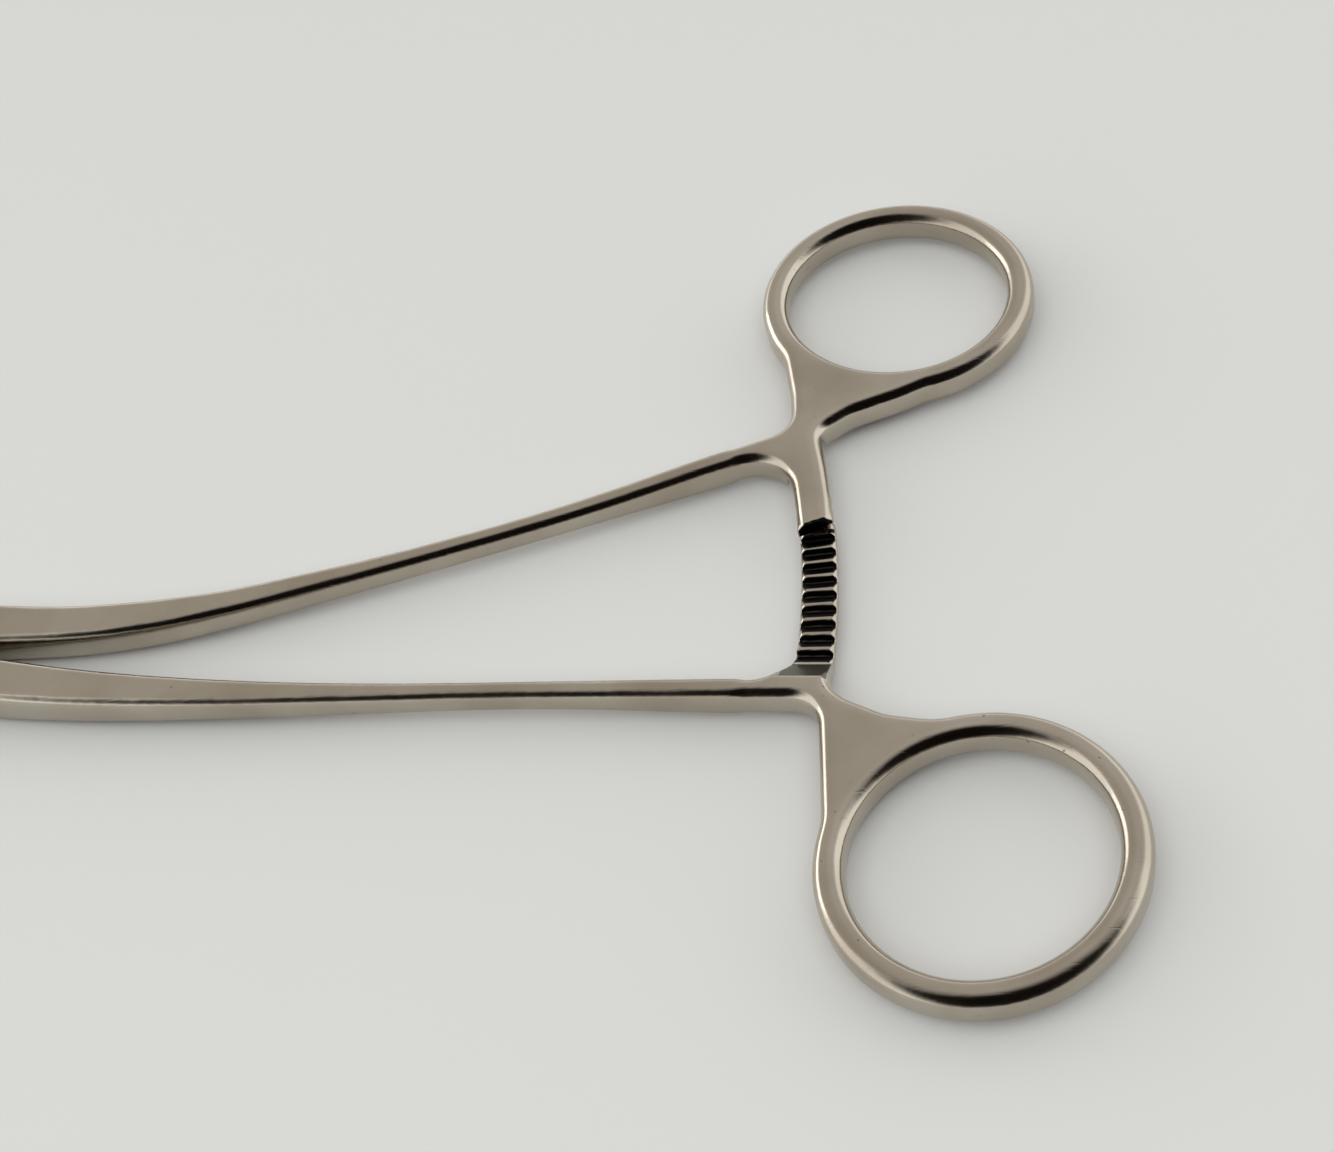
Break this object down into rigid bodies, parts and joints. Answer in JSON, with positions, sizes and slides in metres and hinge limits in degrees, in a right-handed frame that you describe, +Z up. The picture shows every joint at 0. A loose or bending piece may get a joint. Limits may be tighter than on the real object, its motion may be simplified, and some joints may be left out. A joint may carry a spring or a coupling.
{
  "type": "ring-handled ratchet clamp",
  "caption": "Ring-handled clamp with a box lock, long serrated jaws, slender bowed shanks and a many-toothed ratchet beside the finger rings.",
  "frame": {"origin": "on the hinge axis, at the underside of the box lock, which is the face the clamp rests on", "axes": "+X from the hinge towards the finger rings, +Z up, along the hinge axis; the box half's ring lies towards -Y"},
  "size_m": [0.201, 0.1099, 0.0054],
  "materials": {
    "satin_steel": "satin",
    "pin_steel": "ground"
  },
  "bodies": {
    "box_side": {"box_half": "satin_steel", "pivot_pin": "pin_steel"},
    "tongue_side": {"tongue_half": "satin_steel"}
  },
  "joints": [
    {"name": "lock_hinge", "type": "hinge", "parent": "box_side", "child": "tongue_side", "pos_m": [0, 0, 0.0027], "axis": [0, 0, 1], "range_deg": [-9, 18]}
  ]
}
